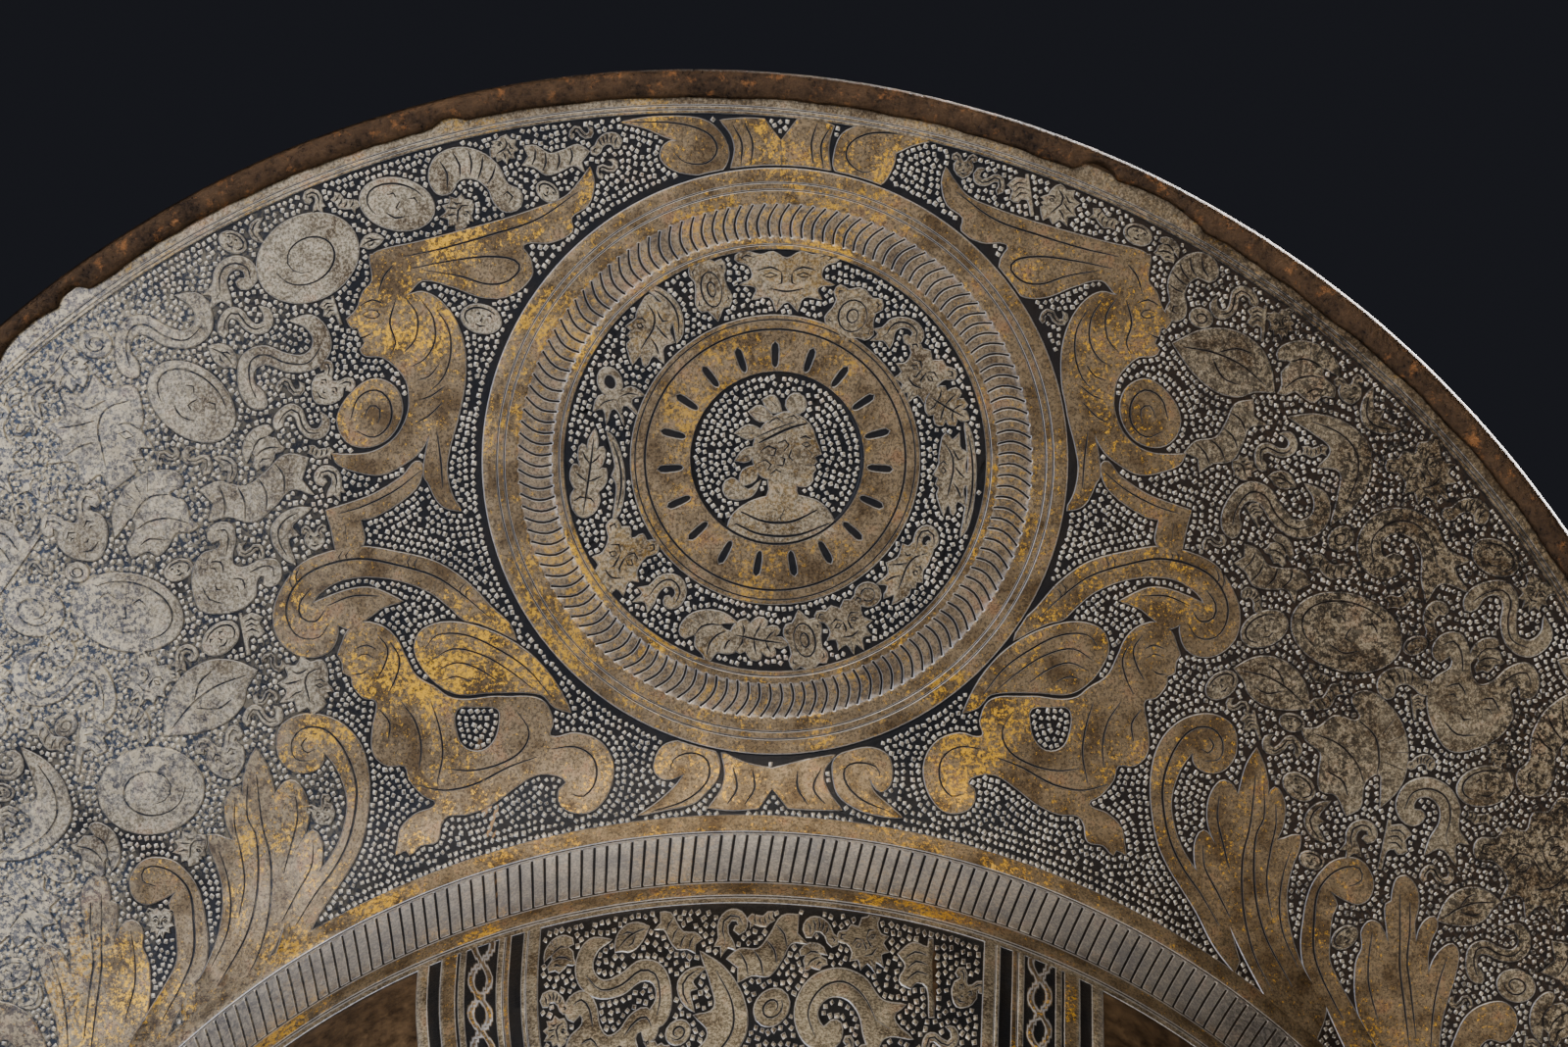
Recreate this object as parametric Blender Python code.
"""Comb morion: an open foot-soldier's helmet with a tall crescent comb and a boat-shaped brim.

It is built as the smith built it. Two half shells, each with half of the comb, skull and brim in
one plate, meet on the middle plane Y = 0. Along the comb the left half's edge is folded over the
right half's edge. Brass rivets for a lining go through the skull in a row above the brim.

Metres, +Z up, +X to the front. The origin is on the surface that the helmet rests on, below the
middle of the skull. Shape functions work in a side view whose origin is the skull's centre.
"""

import math

import bmesh
import bpy
from mathutils import Vector

MM = 0.001

# Side view: the comb is the crescent between two arcs
SKULL_RADIUS = 120 * MM
CREST_RADIUS = 152 * MM
CREST_CENTRE_HEIGHT = 74.6 * MM

# Width of the skull and of the comb
SKULL_HALF_WIDTH = 98 * MM
COMB_ROOT_HALF = 7.9 * MM
CREST_HALF = 2.2 * MM

# The plate and the joint between the halves
WALL = 1.2 * MM
JOINT_GAP = 0.3 * MM
FOLD_LIP = 3.6 * MM

# Root line, where the skull turns into the brim, and the brim's edge
ROOT_TIP_Z = -12 * MM
ROOT_SIDE_Z = -30 * MM
BRIM_HALF_LENGTH = 172 * MM
BRIM_HALF_WIDTH = 119 * MM
BRIM_TIP_Z = 12 * MM
BRIM_SIDE_Z = -66 * MM
BRIM_FULLNESS = 2.3
BRIM_SWEEP = 2.2
BRIM_LEVEL = 0.1
BRIM_SAG = 5 * MM
ROLL_RADIUS = 2.7 * MM
ROLL_LEVEL = 0.6 * MM
ROLL_INSET = 0.8 * ROLL_RADIUS

# Lining rivets
RIVETS_PER_SIDE = 8
RIVET_HEIGHT = 9 * MM
RIVET_SPAN = 0.62
HEAD_RADIUS = 4.0 * MM
HEAD_HEIGHT = 2.4 * MM
SHANK_RADIUS = 1.5 * MM
TAIL_RADIUS = 2.4 * MM
TAIL_HEIGHT = 1.2 * MM
RIVET_CLEARANCE = 0.4 * MM

# Facets
STATIONS = 40
CREST_CROWDING = 0.5
ROOT_EVENNESS = 0.35
BRIM_ROWS = 4
SKULL_ROWS = 10
COMB_ROWS = 4
COMB_ROW_GROWTH = 1.6
ROLL_SIDES = 10
RIVET_SIDES = 10
PROFILE_SAMPLES = 16

# The outer skin's section, from the side of the skull to the root of the comb, is two Bezier
# curves that meet at the knot "turn". Each row gives a point as shares of the skull's radius and
# half width, under the middle of the comb ("crown") and at its low ends ("end").
PROFILE = [
    # name, crown radius share, crown width share, end radius share, end width share
    ("side", 0.000, 1.000, 0.000, 1.000),
    ("shoulder", 0.433, 1.000, 0.550, 1.000),
    ("slope", 0.686, 0.686, 0.937, 0.463),
    ("turn", 0.850, 0.429, 0.975, 0.163),
    ("hollow", 0.922, 0.316, 0.995, 0.113),
    ("foot", 0.950, 0.094, 1.012, 0.045),
]
COMB_ROOT_SHARE = 1.15
COMB_ROOT_SHARE_AT_END = 1.030
COMB_ROOT_HALF_AT_END = 3.0 * MM

# The roll round the brim's edge is beaten level where it rests, and that level is Z = 0
CENTRE_Z = ROLL_RADIUS - ROLL_LEVEL - BRIM_SIDE_Z
# Middle of the 0.3 mm joint between the halves
MIDDLE_Y = JOINT_GAP / 2

STEEL = ("etched_steel", (0.20, 0.16, 0.12), 0.42, 1.0)
BRASS = ("rivet_brass", (0.42, 0.28, 0.10), 0.38, 1.0)


def clear_scene():
    for obj in list(bpy.data.objects):
        bpy.data.objects.remove(obj)


def material(name, colour, roughness, metallic):
    made = bpy.data.materials.new(name)
    made.use_nodes = True
    shader = made.node_tree.nodes["Principled BSDF"]
    shader.inputs["Base Color"].default_value = (*colour, 1)
    shader.inputs["Roughness"].default_value = roughness
    shader.inputs["Metallic"].default_value = metallic
    return made


def mix(a, b, share):
    return a + (b - a) * share


def bezier(p0, p1, p2, p3, t):
    """A point of a cubic Bezier curve through pairs of numbers."""
    s = 1 - t
    weights = (s**3, 3 * s * s * t, 3 * s * t * t, t**3)
    return tuple(sum(w * p[i] for w, p in zip(weights, (p0, p1, p2, p3))) for i in (0, 1))


def crest_reach(x, z):
    """Distance from the skull's centre to the crest arc, in the direction of a side-view point."""
    if z <= 0:
        return math.sqrt(CREST_RADIUS**2 - (z - CREST_CENTRE_HEIGHT) ** 2)
    angle = math.atan2(z, abs(x))
    along = CREST_CENTRE_HEIGHT * math.sin(angle)
    across = CREST_CENTRE_HEIGHT * math.cos(angle)
    return along + math.sqrt(CREST_RADIUS**2 - across**2)


def section_profile(reach):
    """(radius, half width) points of the outer skin from the skull's side up to the crest."""
    tallest = CREST_CENTRE_HEIGHT + CREST_RADIUS - SKULL_RADIUS
    share = min(1.0, max(0.0, (reach - SKULL_RADIUS) / tallest))
    knots = [
        (SKULL_RADIUS * mix(end_r, crown_r, share), SKULL_HALF_WIDTH * mix(end_w, crown_w, share))
        for _, crown_r, crown_w, end_r, end_w in PROFILE
    ]
    root = (
        SKULL_RADIUS * mix(COMB_ROOT_SHARE_AT_END, COMB_ROOT_SHARE, share),
        mix(COMB_ROOT_HALF_AT_END, COMB_ROOT_HALF, share),
    )
    steps = [i / PROFILE_SAMPLES for i in range(PROFILE_SAMPLES)]
    points = [bezier(*knots[:4], t) for t in steps]
    points += [bezier(knots[3], knots[4], knots[5], root, t) for t in steps]
    return points + [root, (max(reach, root[0] + MM), CREST_HALF)]


def half_width(x, z):
    """Half the helmet's width, over the outer skin, at a side-view point."""
    radius = abs(x) if z <= 0 else math.hypot(x, z)
    points = section_profile(crest_reach(x, z))
    for (r0, w0), (r1, w1) in zip(points, points[1:]):
        if radius <= r1:
            return mix(w0, w1, (radius - r0) / (r1 - r0))
    return points[-1][1]


def tip_x():
    """Where the crest arc comes down to the root line, in front."""
    return math.sqrt(CREST_RADIUS**2 - (ROOT_TIP_Z - CREST_CENTRE_HEIGHT) ** 2)


def root_z(x):
    return mix(ROOT_SIDE_Z, ROOT_TIP_Z, min(1.0, (x / tip_x()) ** 2))


def lengthwise(share):
    """Where a station lies along the helmet's length: 1 at the front tip, -1 at the back tip."""
    return mix(math.cos(math.pi * share), 1 - 2 * share, ROOT_EVENNESS)


def root_point(share):
    x = tip_x() * lengthwise(share)
    return x, root_z(x)


def crest_point(share, drop=0.0):
    """A point of the crest; the stations crowd together towards the comb's two ends."""
    low = math.asin((ROOT_TIP_Z - CREST_CENTRE_HEIGHT) / CREST_RADIUS)
    crowded = share - CREST_CROWDING * math.sin(2 * math.pi * share) / (2 * math.pi)
    angle = mix(low, math.pi - low, crowded)
    radius = CREST_RADIUS - (drop if 0 < share < 1 else 0.0)
    return radius * math.cos(angle), CREST_CENTRE_HEIGHT + radius * math.sin(angle)


def base_share(root, crest):
    """How far along the line from root to crest the comb begins."""
    samples = 60
    for i in range(samples):
        x, z = (mix(r, c, i / samples) for r, c in zip(root, crest))
        if math.hypot(x, max(z, 0)) > SKULL_RADIUS:
            return min(0.75, max(0.45, i / samples))
    return 0.75


def eased(t):
    """Rows drawn closer together near the top of the skull, where its section bends most."""
    return math.sin(t * math.pi / 2)


def wall_rows():
    """Names and shares of the rows from the root line to the crest: (part, share within it)."""
    skull = [("skull", eased(i / SKULL_ROWS)) for i in range(1, SKULL_ROWS + 1)]
    comb = [("comb", (i / COMB_ROWS) ** COMB_ROW_GROWTH) for i in range(1, COMB_ROWS + 1)]
    return [("skull", 0.0)] + skull + comb


def wall_point(share, part, along, drop):
    """A point of the outer skin of skull or comb, on the +Y side."""
    root = root_point(share)
    crest = crest_point(share, drop)
    base = base_share(root, crest_point(share))
    t = base * along if part == "skull" else mix(base, 1.0, along)
    x, z = (mix(r, c, t) for r, c in zip(root, crest))
    return Vector((x, half_width(x, z), z))


def brim_point(share, along):
    """A point of the brim's upper skin; along is 0 at the root line and 1 at the edge."""
    x, z = root_point(share)
    root = Vector((x, half_width(x, z), z))
    edge_x = BRIM_HALF_LENGTH * lengthwise(share)
    outward = abs(edge_x) / BRIM_HALF_LENGTH
    risen = max(0.0, outward - BRIM_LEVEL) / (1 - BRIM_LEVEL)
    edge = Vector((
        edge_x,
        BRIM_HALF_WIDTH * (1 - outward**BRIM_FULLNESS),
        mix(BRIM_SIDE_Z, BRIM_TIP_Z, risen**BRIM_SWEEP),
    ))
    middle = (root + edge) / 2 - Vector((0, 0, 2 * BRIM_SAG))
    s = 1 - along
    return root * s * s + middle * 2 * s * along + edge * along * along


def in_middle(point):
    """The point brought to the half's own face of the joint between the halves."""
    return Vector((point.x, MIDDLE_Y, point.z))


def skin(drop):
    """Rows of outer points for each station, from the brim's edge to the crest, on the +Y side."""
    grid = []
    for i in range(STATIONS + 1):
        share = i / STATIONS
        width = (brim_point(share, 1) - brim_point(share, 0)).length
        plate = 1 - ROLL_INSET / width
        column = [brim_point(share, plate * (1 - k / BRIM_ROWS)) for k in range(BRIM_ROWS)]
        column += [wall_point(share, part, along, drop) for part, along in wall_rows()]
        grid.append([in_middle(p) for p in column] if i in (0, STATIONS) else column)
    return grid


def normal_at(grid, i, k):
    """Outward normal of the skin at a station between the tips."""
    across = grid[i + 1][k] - grid[i - 1][k]
    up = grid[i][min(k + 1, len(grid[i]) - 1)] - grid[i][max(k - 1, 0)]
    return across.cross(up).normalized()


def tip_normal(column):
    """Upward normal of the brim's line in the middle plane, at the front or back tip."""
    rise = column[0] - column[BRIM_ROWS]
    normal = Vector((-rise.z, 0, rise.x)).normalized()
    return normal if normal.z > 0 else -normal


def lining_skin(grid):
    """The inner skin, one wall inside the outer one; the comb's two ends are solid."""
    inner = []
    for i, column in enumerate(grid):
        from_tip = min(i, STATIONS - i)
        under = tip_normal(grid[0] if i < STATIONS - i else grid[-1]) * WALL
        row = []
        for k, point in enumerate(column):
            if from_tip <= 1 and k > BRIM_ROWS:
                row.append(in_middle(point))
            elif from_tip == 0 or from_tip == 1 and k == BRIM_ROWS:
                row.append(in_middle(point - under))
            else:
                p = point - normal_at(grid, i, k) * WALL
                row.append(Vector((p.x, max(p.y, MIDDLE_Y), p.z)))
        inner.append(row)
    return inner


def roll_points(share, outer, inner):
    """The roll round the brim's edge, from the upper skin to the lower one, level where it rests."""
    centre = brim_point(share, 1)
    if share in (0, 1):
        centre = in_middle(centre)
    out = (centre - outer).normalized()
    up = (outer - inner).normalized()
    end = math.atan2(-WALL, -ROLL_INSET)
    points = []
    for i in range(1, ROLL_SIDES):
        angle = mix(math.pi, end, i / ROLL_SIDES)
        p = centre + (out * math.cos(angle) + up * math.sin(angle)) * ROLL_RADIUS
        points.append(Vector((p.x, max(p.y, MIDDLE_Y), max(p.z, -CENTRE_Z))))
    return points


def fold_points(share):
    """The left half's edge, folded over the right half's: from its outer face round to its inner."""
    x, z = crest_point(share)
    out = Vector((x, 0, z - CREST_CENTRE_HEIGHT)).normalized()
    crown = Vector((x, 0, z))
    hem = crown - out * FOLD_LIP
    near = -(CREST_HALF + JOINT_GAP)
    low = -(half_width(hem.x, hem.z) + JOINT_GAP)
    section = [
        # across, outward
        (CREST_HALF * 0.9, WALL * 0.7),
        (CREST_HALF * 0.5, WALL),
        (near - WALL * 0.5, WALL),
        (near - WALL, WALL * 0.5),
        (low - WALL, -FOLD_LIP),
        (low, -FOLD_LIP),
        (near, 0.0),
    ]
    return [crown + Vector((0, y, 0)) + out * r for y, r in section]


def half_shell(name, drop, folded, side, steel):
    """One half of the helmet as a single closed plate; side is +1 for left and -1 for right."""
    outer = skin(drop)
    inner = lining_skin(outer)
    mesh = bmesh.new()

    def vert(p):
        return mesh.verts.new((p.x, p.y * side, p.z + CENTRE_Z))

    def ring(i):
        """The section loop of a station: crest to edge outside, round the roll, back inside."""
        roll = roll_points(i / STATIONS, outer[i][0], inner[i][0])
        return [vert(p) for p in outer[i][::-1] + roll + inner[i]]

    rings = [ring(i) for i in range(STATIONS + 1)]
    rows = len(outer[0])
    for a, b in zip(rings, rings[1:]):
        for k in range(len(a) - 1):
            mesh.faces.new((a[k], a[k + 1], b[k + 1], b[k]))
    for end in (rings[0], rings[-1]):
        for k in range(rows - 1):
            mesh.faces.new((end[k], end[k + 1], end[-k - 2], end[-k - 1]))
        mesh.faces.new(end[rows - 1 : len(end) - rows + 1])
    bars = [[r[-1], r[0]] for r in rings]
    if folded:
        for i in range(1, STATIONS):
            bars[i] = [rings[i][-1]] + [vert(p) for p in fold_points(i / STATIONS)][::-1] + [rings[i][0]]
    for i in (0, STATIONS - 1):
        (a0, a1), (b0, b1) = (bars[i][0], bars[i][-1]), (bars[i + 1][0], bars[i + 1][-1])
        mesh.faces.new((a0, a1, b1, b0))
    for i in range(1, STATIONS - 1):
        a, b = bars[i], bars[i + 1]
        for k in range(len(a) - 1):
            mesh.faces.new((a[k], a[k + 1], b[k + 1], b[k]))
    if folded:
        mesh.faces.new(bars[1])
        mesh.faces.new(bars[STATIONS - 1])
    bmesh.ops.remove_doubles(mesh, verts=mesh.verts, dist=0.002 * MM)
    bmesh.ops.triangulate(mesh, faces=mesh.faces)
    bmesh.ops.recalc_face_normals(mesh, faces=mesh.faces)
    if mesh.calc_volume(signed=True) < 0:
        bmesh.ops.reverse_faces(mesh, faces=mesh.faces)
    return place(mesh, name, steel)


def place(mesh, name, finish):
    data = bpy.data.meshes.new(name)
    mesh.to_mesh(data)
    mesh.free()
    obj = bpy.data.objects.new(name, data)
    bpy.context.scene.collection.objects.link(obj)
    data.materials.append(finish)
    data.shade_smooth()
    data.set_sharp_from_angle(angle=math.radians(35))
    return obj


def rivet_seats():
    """(point on the outer skin, outward direction) of each rivet on the +Y side, front to back."""
    grid = skin(0.0)
    seats = []
    for i in range(RIVETS_PER_SIDE):
        share = mix(0.5 - RIVET_SPAN / 2, 0.5 + RIVET_SPAN / 2, i / (RIVETS_PER_SIDE - 1))
        j = math.floor(share * STATIONS) if share < 0.5 else math.ceil(share * STATIONS) - 1
        (front, above_front), (back, above_back) = (level_point(grid[n]) for n in (j, j + 1))
        centre = (front + back) / 2
        normal = (back - front).cross(above_front + above_back - front - back).normalized()
        seats.append((centre, normal if normal.y > 0 else -normal))
    return seats


def level_point(column):
    """Where a station's column passes the rivets' height, and the next row's point above it."""
    height = column[BRIM_ROWS].z + RIVET_HEIGHT
    for low, high in zip(column[BRIM_ROWS:], column[BRIM_ROWS + 1 :]):
        if high.z >= height:
            return low.lerp(high, (height - low.z) / (high.z - low.z)), high
    return column[-2], column[-1]


def rivet_profile():
    """Half section of a rivet along its axis: (distance from the axis, height above the skin)."""
    head = RIVET_CLEARANCE
    tail = -WALL - RIVET_CLEARANCE
    return [
        (TAIL_RADIUS * 0.7, tail - TAIL_HEIGHT),
        (TAIL_RADIUS, tail),
        (SHANK_RADIUS, tail),
        (SHANK_RADIUS, head),
        (HEAD_RADIUS, head),
        (HEAD_RADIUS, head + HEAD_HEIGHT * 0.25),
        (HEAD_RADIUS * 0.72, head + HEAD_HEIGHT * 0.75),
        (HEAD_RADIUS * 0.3, head + HEAD_HEIGHT),
    ]


def oriented(centre, normal, side):
    """Seat of a rivet in the part's own frame."""
    point = Vector((centre.x, centre.y * side, centre.z + CENTRE_Z))
    axis = Vector((normal.x, normal.y * side, normal.z))
    return point, axis.to_track_quat("Z", "Y")


def rivet(name, centre, normal, side, brass):
    mesh = bmesh.new()
    rings = []
    for radius, height in rivet_profile():
        turn = [2 * math.pi * i / RIVET_SIDES for i in range(RIVET_SIDES)]
        rings.append([mesh.verts.new((radius * math.cos(a), radius * math.sin(a), height)) for a in turn])
    for low, high in zip(rings, rings[1:]):
        for i in range(RIVET_SIDES):
            j = (i + 1) % RIVET_SIDES
            mesh.faces.new((low[i], low[j], high[j], high[i]))
    mesh.faces.new(rings[0][::-1])
    mesh.faces.new(rings[-1])
    obj = place(mesh, name, brass)
    obj.rotation_mode = "QUATERNION"
    obj.location, obj.rotation_quaternion = oriented(centre, normal, side)
    return obj


def drill(half, side):
    """Rivet holes through one half, cut by one set of pins."""
    mesh = bmesh.new()
    for centre, normal in rivet_seats():
        point, turn = oriented(centre, normal, side)
        matrix = turn.to_matrix().to_4x4()
        matrix.translation = point
        bmesh.ops.create_cone(
            mesh,
            cap_ends=True,
            segments=RIVET_SIDES,
            radius1=SHANK_RADIUS + RIVET_CLEARANCE,
            radius2=SHANK_RADIUS + RIVET_CLEARANCE,
            depth=8 * WALL,
            matrix=matrix,
        )
    pins = place(mesh, half.name + "_pins", half.data.materials[0])
    pins.hide_render = True
    pins.display_type = "WIRE"
    cut = half.modifiers.new("rivet_holes", "BOOLEAN")
    cut.operation = "DIFFERENCE"
    cut.object = pins


def build():
    clear_scene()
    steel = material(*STEEL)
    brass = material(*BRASS)
    left = half_shell("left_half", 0.0, True, 1, steel)
    right = half_shell("right_half", JOINT_GAP, False, -1, steel)
    drill(left, 1)
    drill(right, -1)
    for side, word in ((1, "left"), (-1, "right")):
        for i, (centre, normal) in enumerate(rivet_seats()):
            rivet(f"{word}_rivet_{i + 1}", centre, normal, side, brass)


build()
